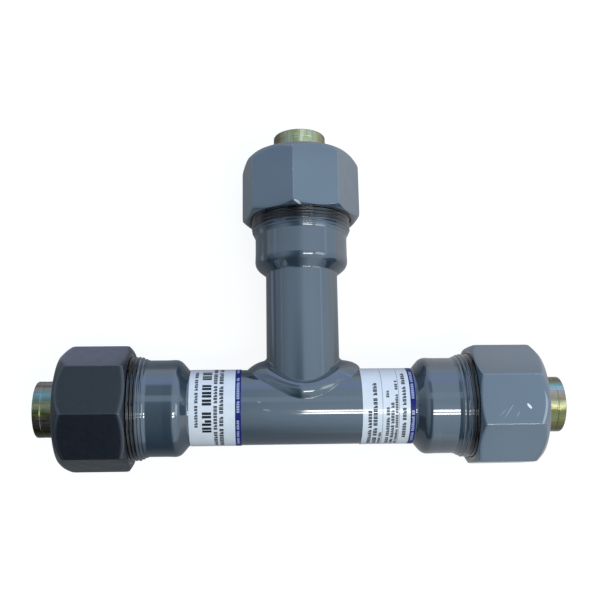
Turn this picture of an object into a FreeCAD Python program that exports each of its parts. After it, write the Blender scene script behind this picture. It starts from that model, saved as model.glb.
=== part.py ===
# Compression tee for plain-ended pipe: a welded run and branch, and at each of the
# three ends a threaded bell, a pipe stiffener, a gasket, its cup, a grip ring and an
# octagonal nut. Millimetres. The run lies along X, the branch points along +Y, and
# the two axes cross at the origin.
import FreeCAD, Part
import math
import os

V = FreeCAD.Vector

# Pipe that the fitting takes, and the clearances that follow from it
pipe_od = 42.16
pipe_slip = 0.35            # radial room for the pipe inside the hard parts
grip_slip = 0.12            # radial room for the pipe inside the grip ring

# Tubes
run_od = 45.2
branch_od = 44.8
tube_wall = 3.5
run_shoulder = 66.8         # middle of the run barrel to where its bell begins
run_shift = -1.4            # middle of the run barrel, seen from the branch axis
branch_shoulder = 82.0      # run axis to where the branch bell begins

# Bell: lengths along the axis count from the shoulder
bell_od = 57.8
bell_wall = 4.4
shoulder_len = 8.4          # cone between the tube and the bell
shoulder_bulge = 0.35       # how far the swaged shoulder stands over the bell
bulge_len = 5.0
foot_round, bulge_round, fade_round, ramp_round, seat_round = 5.0, 3.6, 12.0, 3.0, 2.0
ramp_at = 24.6              # the bell thickens to the thread here
ramp_len = 4.8
run_out = 0.3               # length of the thread's first step, and three times its lead-in
thread_rise = 2.3           # crest of the thread over the bell
thread_pitch = 2.1167
thread_depth = 0.75
neck_len = 46.2             # mouth of the bell
stop_at = 3.6               # the pipe stops here
pocket_len = 2.6
pocket_r = 21.9             # holds the stiffener's flange
pocket_ramp = 3.4           # from the pocket out to the seat's bore
seat_slope = 0.49           # radius gained per length in the gasket's seat

# Nut
nut_sides = 8
nut_over = 3.75             # its flats over the thread's crest
nut_cover = 11.2            # how much of the bell it covers at rest
nut_len = 41.4
nut_lip = 4.4
nut_edge_round = 0.9        # along the edges between the flats
inner_chamfer = (0.45, 0.75)   # end circle inside the flats, length per radius
outer_chamfer = (2.3, 1.15)
chamfer_crown = 0.2         # how far each chamfer bows out
outer_round = 2.0
thread_gap = 0.15           # nut's thread to the body's, radially
nut_thread_len = 22.0
thread_chamfer = 1.0        # at the nut's mouth
cavity_step = 1.4           # from the thread in to the room for the cup
cavity_room = 0.6           # round the cup, and the chamfer of the pipe's hole
mouth_room = 0.4            # the nut's hole clears the pipe by this more than the rings
cut_over = 1.0              # how far a cutter reaches past what it cuts
turn_left, turn_right, turn_branch = -10.6, 21.3, -9.1   # vertex from the top, degrees
branch_nut_out = 1.2        # how much further out the branch nut and its rings stand

# Soft and hard rings, from the nut's lip inward
ring_play = 0.25            # grip ring to lip and to cone
grip_len = 9.0
grip_under = 2.5            # its thin end under the gasket's outside
grip_taper = math.radians(20)
grip_split = 4.0
grip_round = 0.5
tooth_count = 3
tooth_depth = 0.5
tooth_share = 0.8           # part of a tooth's length that is its slope
cup_wall = 1.1
cup_len = 6.6
cup_play = 0.1              # cup to gasket, radially
cup_round = 0.9
gasket_len = 15.4
gasket_over = 3.4           # outside of the gasket over the bore of its seat
nose_over = 0.5             # the gasket's nose over the same bore
nose_round, gasket_round = 0.6, 2.0
gasket_turns = 3.0          # turns of the nut before the gasket meets its seat

# Stiffener
stiff_od = 33.5
stiff_wall = 1.25
flange_t = 1.6
flange_play = 0.05
flare_round, flange_round = 1.8, 1.2
stiff_edge = (0.4, 0.3)     # chamfer at the outer end: length, depth
run_stiff_out = 14.7        # how far it stands out of the nut
branch_stiff_out = 15.8

# Weld bead round the foot of the branch: at the low points of the saddle, then on its ridge
bead_rise = 4.5             # centre over the saddle's low point
bead_sink = 4.3             # centre under the top of the run
bead_in, bead_out = 2.5, 2.2    # centre inside, then outside, the branch's surface
bead_r, bead_r_ridge = 5.5, 9.2
bead_sections = 24

# Labels wrapped on the run
label_t = 0.12
label_lift = 0.2            # glue under the label
label_span = 330.0
right_label = (33.6, 31.4)  # first edge, width
left_label = (-68.0, 30.4)

# Derived sizes
pipe_r = pipe_od / 2
seat_r0 = bell_od / 2 - bell_wall
thread_od = bell_od + 2 * thread_rise
nut_flats = thread_od + 2 * nut_over
nut_at = neck_len - nut_cover   # inner face at rest
run_stiff_end = nut_at + nut_len + run_stiff_out    # counted from the shoulder
branch_stiff_end = nut_at + nut_len + branch_nut_out + branch_stiff_out
thread_root_r = thread_od / 2 - thread_depth
nut_thread_r = thread_od / 2 + thread_gap
gasket_in = pipe_r + pipe_slip
gasket_r = seat_r0 + gasket_over
grip_in = pipe_r + grip_slip
grip_thin_r = gasket_r - grip_under
grip_spread = grip_len * math.tan(grip_taper)   # radius gained from its thin end to its thick one
advance = gasket_turns * thread_pitch
grip_out = nut_at + nut_len - nut_lip - ring_play
cup_out = grip_out - grip_len
gasket_out = cup_out - cup_wall
gasket_tip = gasket_out - gasket_len
nose_r = seat_r0 + nose_over
seat_start = gasket_tip - advance - (nose_r - seat_r0) / seat_slope


def cyl(r, length, at=(0, 0, 0), axis=(1, 0, 0)):
    return Part.makeCylinder(r, length, V(*at), V(*axis))


def rounded_wire(points):
    """A closed wire through (x, r, round, crown) corners, the last two optional.

    round is the corner's radius, and crown is how far the side that follows bows to its left.
    """
    pts = [V(p[0], p[1], 0) for p in points]
    radii = [p[2] if len(p) > 2 else 0.0 for p in points]
    crowns = [p[3] if len(p) > 3 else 0.0 for p in points]
    n = len(pts)
    ends, arcs = [], []
    for i in range(n):
        a, b, c = pts[i - 1], pts[i], pts[(i + 1) % n]
        if not radii[i]:
            ends.append((b, b))
            arcs.append(None)
            continue
        u, w = (a - b).normalize(), (c - b).normalize()
        half = u.getAngle(w) / 2
        reach = radii[i] / math.tan(half)
        start, stop = b + u * reach, b + w * reach
        mid_dir = (u + w).normalize()
        middle = b + mid_dir * (radii[i] / math.sin(half) - radii[i])
        ends.append((start, stop))
        arcs.append(Part.Arc(start, middle, stop).toShape())
    edges = []
    for i in range(n):
        if arcs[i]:
            edges.append(arcs[i])
        start, stop = ends[i][1], ends[(i + 1) % n][0]
        side = stop - start
        if crowns[i]:
            left = V(-side.y, side.x, 0).normalize()
            middle = (start + stop) * 0.5 + left * crowns[i]
            edges.append(Part.Arc(start, middle, stop).toShape())
        elif side.Length > 1e-6:
            edges.append(Part.makeLine(start, stop))
    return Part.Wire(Part.__sortEdges__(edges))


def turned(points):
    """A ring turned about X from a closed (x, r) outline."""
    face = Part.Face(rounded_wire(points))
    return face.revolve(V(0, 0, 0), V(1, 0, 0), 360)


def at_end(shape, end):
    """Moves a piece built for the +X end to the end where it belongs."""
    moved = shape.copy()
    if end == "left":
        moved.rotate(V(0, 0, 0), V(0, 0, 1), 180)
    if end == "branch":
        moved.rotate(V(0, 0, 0), V(0, 0, 1), 90)
    return moved


def bell_outside(s, tube_r):
    """Outer corners of one bell from the tube outward; s is the shoulder."""
    top = bell_od / 2
    return [
        (s, tube_r, foot_round),
        (s + shoulder_len, top + shoulder_bulge, bulge_round),
        (s + shoulder_len + bulge_len, top, fade_round),
        (s + ramp_at, top, ramp_round),
        (s + ramp_at + ramp_len, thread_od / 2 - run_out / 3),
        (s + ramp_at + ramp_len + run_out, thread_root_r),
        (s + neck_len, thread_root_r),
    ]


def bell_inside(s, bore_r):
    """Inner corners of one bell from the mouth inward."""
    mouth_r = seat_r0 + (neck_len - seat_start) * seat_slope
    return [
        (s + neck_len, mouth_r),
        (s + seat_start, seat_r0, seat_round),
        (s + stop_at + pocket_len + pocket_ramp, seat_r0, seat_round),
        (s + stop_at + pocket_len, pocket_r),
        (s + stop_at, pocket_r),
        (s + stop_at, bore_r),
    ]


def mirrored(points):
    return [(-p[0],) + tuple(p[1:]) for p in reversed(points)]


def run_barrel():
    outside = bell_outside(run_shoulder, run_od / 2)
    inside = bell_inside(run_shoulder, run_od / 2 - tube_wall)
    ring = mirrored(outside) + outside + inside + mirrored(inside)
    body = turned(ring)
    body.translate(V(run_shift, 0, 0))
    hole = cyl(branch_od / 2 - tube_wall, run_od, axis=(0, 1, 0))
    return body.cut(hole)


def branch_barrel():
    inner = branch_od / 2 - tube_wall
    ring = [(0, branch_od / 2)] + bell_outside(branch_shoulder, branch_od / 2)
    ring += bell_inside(branch_shoulder, inner) + [(0, inner)]
    saddle = cyl(run_od / 2, 4 * run_od, at=(-2 * run_od, 0, 0))
    return at_end(turned(ring), "branch").cut(saddle)


def between(low, ridge, share):
    return low + (ridge - low) * share


def bead_section(phi):
    """Circle of the weld bead in the half plane phi round the branch axis.

    The saddle is highest toward the run's ends, and lowest, at foot, on the run's flanks.
    """
    run_r, branch_r = run_od / 2, branch_od / 2
    foot = math.sqrt(max(run_r ** 2 - branch_r ** 2, 0))
    c = math.cos(phi) ** 2
    from_axis = branch_r + between(-bead_in, bead_out, c * c)
    height = between(foot + bead_rise, run_r - bead_sink, c)
    centre = V(from_axis * math.cos(phi), height, from_axis * math.sin(phi))
    radius = between(bead_r, bead_r_ridge, c)
    return Part.Wire(Part.makeCircle(radius, centre, V(-math.sin(phi), 0, math.cos(phi))))


def branch_weld():
    step = 2 * math.pi / bead_sections
    rings = [bead_section(k * step) for k in range(bead_sections)]
    collar = Part.makeLoft(rings, True, False, True)
    collar = collar.cut(cyl(run_od / 2, 4 * run_od, at=(-2 * run_od, 0, 0)))
    return collar.cut(cyl(branch_od / 2, 2 * run_od, axis=(0, 1, 0)))


def label(first, width):
    """A thin sleeve, open underneath, stuck on the run."""
    r = run_od / 2
    outer = cyl(r + label_lift + label_t, width, at=(first, 0, 0))
    ring = outer.cut(cyl(r + label_lift, width, at=(first, 0, 0)))
    gap = math.radians(360 - label_span) / 2
    reach = 2 * r
    corners = [V(first, 0, 0), V(first, reach * math.sin(gap), -reach * math.cos(gap)),
               V(first, -reach * math.sin(gap), -reach * math.cos(gap)), V(first, 0, 0)]
    wedge = Part.Face(Part.makePolygon(corners)).extrude(V(width, 0, 0))
    return ring.cut(wedge)


def stiffener(s, end_at):
    """Tube with a flange flared at its inner end."""
    r = stiff_od / 2
    rim = pocket_r - flange_play
    start = s + stop_at
    edge_len, edge_depth = stiff_edge
    ring = [
        (start, r - stiff_wall, flare_round), (s + end_at, r - stiff_wall),
        (s + end_at, r - edge_depth), (s + end_at - edge_len, r),
        (start + flange_t, r, flange_round), (start + flange_t, rim), (start, rim),
    ]
    return turned(ring)


def gasket(s):
    """Rubber ring with a conical nose toward its seat in the bell."""
    shoulder = gasket_tip + (gasket_r - nose_r) / seat_slope
    ring = [
        (s + gasket_tip, gasket_in, nose_round), (s + gasket_tip, nose_r, nose_round),
        (s + shoulder, gasket_r, gasket_round), (s + gasket_out, gasket_r),
        (s + gasket_out, gasket_in),
    ]
    return turned(ring)


def cup(s):
    """Steel cup that backs the gasket and keeps it from creeping outward."""
    rim_in = gasket_r + cup_play
    rim_out = rim_in + cup_wall
    ring = [
        (s + cup_out, gasket_in), (s + cup_out, rim_out, cup_round),
        (s + cup_out - cup_len, rim_out), (s + cup_out - cup_len, rim_in),
        (s + gasket_out, rim_in), (s + gasket_out, gasket_in),
    ]
    return turned(ring)


def grip_ring(s):
    """Split ring, tapered outside and toothed inside, that bites on the pipe."""
    thick = grip_thin_r + grip_spread
    outer = [(s + grip_out, grip_thin_r, grip_round), (s + cup_out, thick, grip_round)]
    inside, pitch = [], grip_len / tooth_count
    for k in range(tooth_count):
        x = s + cup_out + k * pitch
        inside += [(x, grip_in + tooth_depth), (x + pitch * tooth_share, grip_in),
                   (x + pitch, grip_in)]
    inside = inside[:-1] + [(s + grip_out, grip_in)]
    ring = turned(outer + inside)
    slot = Part.makeBox(grip_len + 2 * cut_over, grip_split, 2 * thick,
                        V(s + cup_out - cut_over, -grip_split / 2, 0))
    return ring.cut(slot)


def nut_cavity(s):
    """Room inside the nut: thread, room for the cup, cone for the grip ring, pipe hole."""
    face, lip = s + nut_at, s + nut_at + nut_len - nut_lip
    mouth = gasket_in + mouth_room
    thin = grip_thin_r + ring_play
    thick = thin + grip_spread
    cone_at = lip - grip_len
    room_r = thick + cavity_room
    back = face + nut_len
    ring = [
        (face - cut_over, 0), (face - cut_over, nut_thread_r + cut_over + thread_chamfer),
        (face + thread_chamfer, nut_thread_r), (face + nut_thread_len, nut_thread_r),
        (face + nut_thread_len + cavity_step, room_r, cavity_room), (cone_at, room_r),
        (cone_at, thick), (lip, thin), (lip, mouth), (back - cavity_room, mouth),
        (back + cut_over, mouth + cut_over + cavity_room), (back + cut_over, 0),
    ]
    return turned(ring)


def nut_bar(length):
    """Bar of the nut's section, a corner on the +Y axis and its edges rounded, along +Z."""
    corner_r = nut_flats / 2 / math.cos(math.pi / nut_sides)
    angles = [2 * math.pi * k / nut_sides for k in range(nut_sides)]
    corners = [(corner_r * math.sin(a), corner_r * math.cos(a), nut_edge_round) for a in angles]
    return Part.Face(rounded_wire(corners)).extrude(V(0, 0, length))


def nut(s, turn):
    """Nut with both ends chamfered down to a circle; turn takes a corner from the top to +Y."""
    face, back = s + nut_at, s + nut_at + nut_len
    bar = nut_bar(nut_len)
    bar.rotate(V(0, 0, 0), V(1, 1, 1), 120)
    bar.rotate(V(0, 0, 0), V(1, 0, 0), -turn)
    bar.translate(V(face, 0, 0))
    reach = nut_flats / 2 / math.cos(math.pi / nut_sides) + 2 * cut_over
    (land_in, slope_in), (land_out, slope_out) = inner_chamfer, outer_chamfer
    in_r, out_r = nut_flats / 2 - land_in, nut_flats / 2 - land_out
    blank = turned([(face, 0), (face, in_r, 0, chamfer_crown),
                    (face + (reach - in_r) * slope_in, reach),
                    (back - (reach - out_r) * slope_out, reach, 0, chamfer_crown),
                    (back, out_r, outer_round), (back, 0)])
    return bar.common(blank).cut(nut_cavity(s))


def ends():
    """For each end its shoulder, the stiffener's reach, and the nut's place and turn."""
    return {
        "right": (run_shoulder + run_shift, run_stiff_end, 0, turn_right),
        "left": (run_shoulder - run_shift, run_stiff_end, 0, -turn_left),
        "branch": (branch_shoulder, branch_stiff_end, branch_nut_out, -turn_branch),
    }


def pieces():
    made = {
        "run_barrel": run_barrel(),
        "branch_barrel": branch_barrel(),
        "branch_weld": branch_weld(),
        "label_right": label(*right_label),
        "label_left": label(*left_label),
    }
    for end, (s, reach, out, turn) in ends().items():
        made["stiffener_" + end] = at_end(stiffener(s, reach), end)
        made["gasket_" + end] = at_end(gasket(s + out), end)
        made["gasket_cup_" + end] = at_end(cup(s + out), end)
        made["grip_ring_" + end] = at_end(grip_ring(s + out), end)
        made["nut_" + end] = at_end(nut(s + out, turn), end)
    return made


os.makedirs("parts", exist_ok=True)
for name, shape in pieces().items():
    solid = shape.Solids[0] if len(shape.Solids) == 1 else shape
    box = solid.BoundBox
    print("%-20s solids %d valid %s volume %9.1f box %.1f %.1f %.1f" % (
        name, len(shape.Solids), solid.isValid(), solid.Volume,
        box.XLength, box.YLength, box.ZLength))
    solid.exportStep("parts/%s.step" % name)
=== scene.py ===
# %% [markdown]
# # A welded compression tee, dressed round its CAD frame
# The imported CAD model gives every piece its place. This script loads it, builds the visible
# skins again with threads, soft edges and a real weld, and gives each piece its finish. Lengths
# on the fitting are in millimetres and become metres when a mesh is made. The floor, the lamps,
# the camera and the object coordinates inside materials are in metres from the start.

# %% Load the frame
import math

import bpy
import numpy as np
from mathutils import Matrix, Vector


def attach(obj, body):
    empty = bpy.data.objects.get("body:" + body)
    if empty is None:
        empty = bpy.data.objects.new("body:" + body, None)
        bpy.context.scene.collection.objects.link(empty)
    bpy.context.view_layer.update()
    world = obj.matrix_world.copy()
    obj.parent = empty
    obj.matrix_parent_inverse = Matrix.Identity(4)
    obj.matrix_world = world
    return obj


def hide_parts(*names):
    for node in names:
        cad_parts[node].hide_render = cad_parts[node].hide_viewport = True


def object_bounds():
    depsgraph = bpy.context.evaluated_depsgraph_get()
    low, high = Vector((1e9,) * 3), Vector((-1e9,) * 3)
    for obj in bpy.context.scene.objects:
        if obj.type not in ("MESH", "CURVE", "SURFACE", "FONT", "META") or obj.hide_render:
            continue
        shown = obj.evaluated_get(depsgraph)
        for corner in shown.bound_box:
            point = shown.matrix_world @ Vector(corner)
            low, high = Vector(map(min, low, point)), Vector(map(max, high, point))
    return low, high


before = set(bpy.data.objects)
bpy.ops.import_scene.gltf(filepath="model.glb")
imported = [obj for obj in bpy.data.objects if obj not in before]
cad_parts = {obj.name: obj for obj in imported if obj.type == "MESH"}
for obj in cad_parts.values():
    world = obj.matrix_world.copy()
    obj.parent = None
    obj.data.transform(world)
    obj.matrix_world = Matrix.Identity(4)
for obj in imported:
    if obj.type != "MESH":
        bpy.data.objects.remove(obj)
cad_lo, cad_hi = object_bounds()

MM = 0.001
TURN = 2 * math.pi
print("CAD box", [round(v, 4) for v in (*cad_lo, *cad_hi)])

# %% [markdown]
# ## The driving sizes
# The CAD source has these same values or works them out. Its solids leave out what is fine: a
# bell's threaded face is a plain cylinder at the depth of the roots there, and here it gets its
# ridges. Each end of the tee is described once, by its distance along its own axis.

# %% Sizes
run_r, branch_r, wall = 22.6, 22.4, 3.5
bell_r, thread_r, root_r, pitch = 28.9, 31.2, 30.45, 2.1167
ramp_at, ramp_end, neck_len = 24.6, 29.4, 46.2
seat_r, seat_slope, seat_from, seat_at = 24.5, 0.49, 9.6, 38.88   # a bore, then the gasket's cone
pocket_r, stop_at, pocket_end = 21.9, 3.6, 6.2
nut_flat, nut_at, nut_len, nut_thread_len, nut_thread_r = 34.95, 35.0, 41.4, 22.0, 31.35
lip_len, grip_len, hole_r = 4.4, 9.0, 21.83
stiff_r, stiff_wall, flange_t = 16.75, 1.25, 1.6
# Of each end: at, its shoulder; out, how far the nut stands out; turn, the nut's turn in degrees;
# reach, the stiffener's outer end; bare, where the paint on the thread stops.
ends = {
    "right": dict(at=65.4, out=0.0, turn=21.3, reach=91.1, bare=31.9),
    "left": dict(at=68.2, out=0.0, turn=10.6, reach=91.1, bare=29.8),
    "branch": dict(at=82.0, out=1.2, turn=9.1, reach=93.4, bare=29.8),
}
print("shoulders", {end: size["at"] for end, size in ends.items()})

# %% [markdown]
# ## Skins over rings of points
# Nearly every piece of a pipe fitting is turned, so one helper serves them all: an outline is
# swept round an axis and closed into a ring of quads. A lathe modifier would do for plain
# turned work, but not for a thread, a saddle or an octagon, where the outline changes with the
# angle. Here the points are an array, angle by station, so any of them can depend on the angle.

# %% Helpers for turned skins
soft_corner = 0.15       # the round of a corner that gives none of its own
longest_reach = 0.48     # how much of a side one corner's round may take


def place(end, s, r, phi):
    """Points of one end: s out along its axis, r away from it, phi round it from the top."""
    y, z = r * np.sin(phi), r * np.cos(phi)
    xyz = {"right": (s, y, z), "left": (-s, -y, z), "branch": (-y, s, z)}[end]
    return np.stack(np.broadcast_arrays(*xyz), -1)


def rounded(corners, closed=True, steps=5):
    """The outline through (s, r) or (s, r, round) corners."""
    n, out = len(corners), []
    for i, corner in enumerate(corners):
        b = np.array(corner[:2], float)
        if not closed and i in (0, n - 1):
            out.append(b)
            continue
        a, c = (np.array(corners[(i + k) % n][:2], float) for k in (-1, 1))
        la, lc = np.linalg.norm(a - b), np.linalg.norm(c - b)
        u, w = (a - b) / la, (c - b) / lc
        half = math.acos(max(-1.0, min(1.0, float(u @ w)))) / 2
        radius = corner[2] if len(corner) > 2 else soft_corner
        reach = min(radius / math.tan(half), longest_reach * la, longest_reach * lc)
        start, stop = b + u * reach, b + w * reach
        for t in np.linspace(0, 1, steps):
            out.append((1 - t) ** 2 * start + 2 * t * (1 - t) * b + t * t * stop)
    return np.array(out)


def signed_volume(v, f):
    """The volume inside the faces. Its sign tells which way they look."""
    a, b, c, d = (v[f[:, k]] for k in range(4))
    return float((a * np.cross(b, c)).sum() + (a * np.cross(c, d)).sum()) / 6


def skin(name, points, spin, rows=None, wear_and_highlight=0.0, sharp=38):
    """A closed mesh over points[angle, station]. rows gives each station's material index."""
    n, m = points.shape[:2]
    i, j = np.meshgrid(np.arange(n), np.arange(m), indexing="ij")
    i2, j2 = (i + 1) % n, (j + 1) % m
    faces = np.stack([i * m + j, i2 * m + j, i2 * m + j2, i * m + j2], -1).reshape(-1, 4)
    verts = points.reshape(-1, 3) * MM
    if signed_volume(verts, faces) < 0:
        faces = faces[:, ::-1]
    mesh = bpy.data.meshes.new(name)
    mesh.from_pydata(verts.tolist(), [], faces.tolist())
    if rows is not None:
        mesh.polygons.foreach_set("material_index", np.tile(np.array(rows, np.int32), n))
    mesh.attributes.new("spin", "FLOAT_VECTOR", "POINT").data.foreach_set(
        "vector", np.broadcast_to(spin, points.shape).astype(np.float32).ravel())
    mesh.attributes.new("wear_and_highlight", "FLOAT", "POINT").data.foreach_set(
        "value", np.broadcast_to(wear_and_highlight, (n, m)).astype(np.float32).ravel())
    mesh.polygons.foreach_set("use_smooth", [True] * len(mesh.polygons))
    mesh.set_sharp_from_angle(angle=math.radians(sharp))
    mesh.update()
    return in_scene(name, mesh)


def in_scene(name, data):
    """A new object that shows the data."""
    obj = bpy.data.objects.new(name, data)
    bpy.context.scene.collection.objects.link(obj)
    return obj


def spin_of(phi, s, offset=0.0):
    """Where a point lies round and, in mm, along its axis, for grain that follows the lathe."""
    phi, s = np.broadcast_arrays(phi, s)
    return np.stack([np.cos(phi), np.sin(phi), s + offset], -1)


def dress(obj, body, slot, materials, *nodes):
    """Gives a piece its finishes and its body, and hides the CAD nodes that it stands for."""
    for mat in materials:
        obj.data.materials.append(mat)
    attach(obj, body)
    if nodes:
        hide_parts(*nodes)
    print(f"{obj.name}: {len(obj.data.polygons)} faces, {[m.name for m in materials]}")


square = [(0, 0), (1, 0), (1, 1), (0, 1)]
print("a rounded square has", len(rounded(square)), "points")

# %% [markdown]
# ## Helpers for materials
# A material is a tree of nodes. By hand that is three lines per node, so a few helpers make a
# node, set or link its inputs and hand back its output.

# %% Helpers for nodes
def fill(tree, made, inputs):
    """Links each input that is given a socket, and sets each that is given a value."""
    for key, value in inputs.items():
        if isinstance(value, bpy.types.NodeSocket):
            tree.links.new(value, made.inputs[key])
        else:
            made.inputs[key].default_value = value
    return made


def node(tree, kind, inputs=None, **props):
    """A node with its properties set first, because they decide which inputs it has."""
    made = tree.nodes.new("ShaderNode" + kind)
    for key, value in props.items():
        setattr(made, key, value)
    return fill(tree, made, inputs or {})


def math_node(tree, operation, a, b=0.0, clamp=False):
    return node(tree, "Math", {0: a, 1: b}, operation=operation, use_clamp=clamp).outputs[0]


def times(tree, made, *factors):
    """All the values multiplied."""
    for factor in factors:
        made = math_node(tree, "MULTIPLY", made, factor)
    return made


def plus(tree, made, *terms):
    """All the values added."""
    for term in terms:
        made = math_node(tree, "ADD", made, term)
    return made


def without(tree, share):
    """What a share leaves of 1."""
    return math_node(tree, "SUBTRACT", 1.0, share)


def on_object(tree):
    """A shading point's place in the frame of its object, in metres."""
    return node(tree, "TexCoord").outputs["Object"]


def attribute(tree, name, output="Vector"):
    return node(tree, "Attribute", attribute_name=name).outputs[output]


def parts(tree, vector):
    """The x, y and z of a vector, as three outputs."""
    return node(tree, "SeparateXYZ", {0: vector}).outputs


def vector_node(tree, operation, a, b=(0.0, 0.0, 0.0), output=0):
    return node(tree, "VectorMath", {0: a, 1: b}, operation=operation).outputs[output]


def blend_colour(tree, share, a, b):
    """Colour a turning into colour b by share."""
    return node(tree, "Mix", {0: share, 6: a, 7: b}, data_type="RGBA").outputs[2]


def ramp(tree, value, stops):
    """A colour ramp through (place, colour) stops."""
    made = node(tree, "ValToRGB", {0: value})
    elements = made.color_ramp.elements
    while len(elements) < len(stops):
        elements.new(0.5)
    for element, (at, colour) in zip(elements, stops):
        element.position = at
        element.color = (*colour, 1.0)
    return made.outputs[0]


def noise(tree, vector, scale, detail=3.0, rough=0.5):
    return node(tree, "TexNoise", {"Vector": vector, "Scale": scale, "Detail": detail,
                                   "Roughness": rough}).outputs[0]


def level(tree, value, low, high, to_low=0.0, to_high=1.0, smooth=True):
    """value taken from low..high to to_low..to_high, and held there."""
    kind = "SMOOTHSTEP" if smooth else "LINEAR"
    return node(tree, "MapRange", {0: value, 1: low, 2: high, 3: to_low, 4: to_high},
                interpolation_type=kind).outputs[0]


def new_group(name, inputs, outputs):
    """An empty shader group with named sockets, given as (name, kind, value)."""
    tree = bpy.data.node_groups.new(name, "ShaderNodeTree")
    for label, kind, value in inputs:
        socket = tree.interface.new_socket(label, in_out="INPUT", socket_type="NodeSocket" + kind)
        socket.default_value = value
    for label, kind in outputs:
        tree.interface.new_socket(label, in_out="OUTPUT", socket_type="NodeSocket" + kind)
    return tree, tree.nodes.new("NodeGroupInput"), tree.nodes.new("NodeGroupOutput")


def use(tree, group, **inputs):
    """Places a group in a material. An input's name has its spaces as underscores."""
    made = tree.nodes.new("ShaderNodeGroup")
    made.node_tree = group
    return fill(tree, made, {key.replace("_", " "): value for key, value in inputs.items()})


def new_material(name, **values):
    """A material with a Principled shader, its plain numbers set on its own sockets."""
    mat = bpy.data.materials.new(name)
    mat.use_nodes = True
    tree = mat.node_tree
    tree.nodes.clear()
    shader = node(tree, "BsdfPrincipled", {k.replace("_", " "): v for k, v in values.items()})
    node(tree, "OutputMaterial", {"Surface": shader.outputs[0]})
    return mat, tree, shader


def bump(tree, shader, height, distance):
    """Relief from a height, its depth in metres."""
    made = node(tree, "Bump", {"Height": height, "Distance": distance})
    tree.links.new(made.outputs[0], shader.inputs["Normal"])


print("materials before the first finish:", len(bpy.data.materials))

# %% [markdown]
# ## Shared effects
# The effects on the surface are node groups, each made once: the orange peel of sprayed enamel,
# dust that settles on what faces up, wear along edges with a painted highlight line on them,
# a chip in the paint that also serves for small painted highlights, and the fine rings that a
# lathe leaves. Nodes could be copied into each material, but a group is changed in one place,
# and each material gives it its own values.

# %% Orange peel and dust
peel, inside, outside = new_group("orange_peel", [("Fine", "Float", 0.5)], [("Height", "Float")])
here = on_object(peel)
close = times(peel, noise(peel, here, 900.0, 2.0), inside.outputs["Fine"])
fill(peel, outside, {"Height": plus(peel, close, noise(peel, here, 210.0, 2.0))})

dust, inside, outside = new_group(
    "dust",
    [("Colour", "Color", (1, 1, 1, 1)), ("Dust", "Color", (0.5, 0.5, 0.48, 1)), ("Amount", "Float", 0.2)],
    [("Colour", "Color"), ("Mask", "Float")])
up = parts(dust, node(dust, "NewGeometry").outputs["Normal"])[2]
specks = level(dust, noise(dust, on_object(dust), 420.0, 8.0, 0.75), 0.50, 0.78)
lying = times(dust, level(dust, up, 0.1, 0.95), specks)
mask = math_node(dust, "MULTIPLY", lying, inside.outputs["Amount"], clamp=True)
colour = blend_colour(dust, mask, inside.outputs["Colour"], inside.outputs["Dust"])
fill(dust, outside, {"Colour": colour, "Mask": mask})
print("made", peel.name, "and", dust.name)

# %% Edge wear with painted highlight lines, chips with painted highlights, and lathe rings
wear_and_highlight, inside, outside = new_group("edge_wear_and_highlight", [("Reach", "Float", 0.5)], [("Mask", "Float")])
edge = attribute(wear_and_highlight, "wear_and_highlight", "Fac")
patches = noise(wear_and_highlight, on_object(wear_and_highlight), 260.0, 6.0, 0.65)
worn_and_highlight = plus(wear_and_highlight, times(wear_and_highlight, edge, inside.outputs["Reach"]), patches)
# A smooth paler line where the edge marking is high: paint rubbed thin and a painted highlight in one.
thin_paint_and_highlight = times(wear_and_highlight, level(wear_and_highlight, edge, 0.6, 0.9), 0.35)
fill(wear_and_highlight, outside, {"Mask": math_node(wear_and_highlight, "MAXIMUM", level(wear_and_highlight, worn_and_highlight, 1.02, 1.12), thin_paint_and_highlight)})

# A pale spot in the paint. It serves both for real chips and for painted highlights.
chip_and_highlight, inside, outside = new_group(
    "chip_and_highlight",
    [("Place", "Vector", (0, 0, 0)), ("Turn", "Vector", (0, 0, 0)),
     ("Half", "Vector", (0.001, 0.001, 0.004))],
    [("Mask", "Float")])
here = on_object(chip_and_highlight)
from_it = vector_node(chip_and_highlight, "SUBTRACT", here, inside.outputs["Place"])
turned = node(chip_and_highlight, "VectorRotate", {"Vector": from_it, "Rotation": inside.outputs["Turn"]},
              rotation_type="EULER_XYZ").outputs[0]
in_halves = vector_node(chip_and_highlight, "DIVIDE", turned, inside.outputs["Half"])
gap = vector_node(chip_and_highlight, "LENGTH", in_halves, output="Value")
ragged = times(chip_and_highlight, noise(chip_and_highlight, here, 900.0, 3.0), 0.9)
fill(chip_and_highlight, outside, {"Mask": level(chip_and_highlight, plus(chip_and_highlight, gap, ragged), 1.55, 1.35)})

rings, inside, outside = new_group("lathe_rings", [("Spacing", "Float", 0.35)], [("Height", "Float")])
along = parts(rings, attribute(rings, "spin"))[2]
spaced = math_node(rings, "DIVIDE", along, inside.outputs["Spacing"])
only_along = node(rings, "CombineXYZ", {2: spaced}).outputs[0]
fill(rings, outside, {"Height": noise(rings, only_along, 1.0, 3.0, 0.7)})
print("groups", [g.name for g in bpy.data.node_groups])

# %% [markdown]
# ## Blue-grey enamel
# The fitting is dipped or sprayed in a blue-grey enamel that dries to a hard gloss over a faint
# orange peel. A coat layer gives the sharp lamp reflections, and a base with a little metal in
# it gives the broad sheen under them. Dust dulls it from above, and edges are rubbed through,
# with a painted highlight line along them. The left nut is nearly black: its enamel is darker
# than the tubes' and less glossy, a painted shade. How much of that is paint and how much is
# light doesn't show. Here it is a choice: the left nut's paint is darker than the tubes', and
# the other two nuts' is paler.

# %% Enamel
enamel_colour = (0.026, 0.042, 0.059, 1)
nut_colour = (0.054, 0.083, 0.114, 1)
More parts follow.
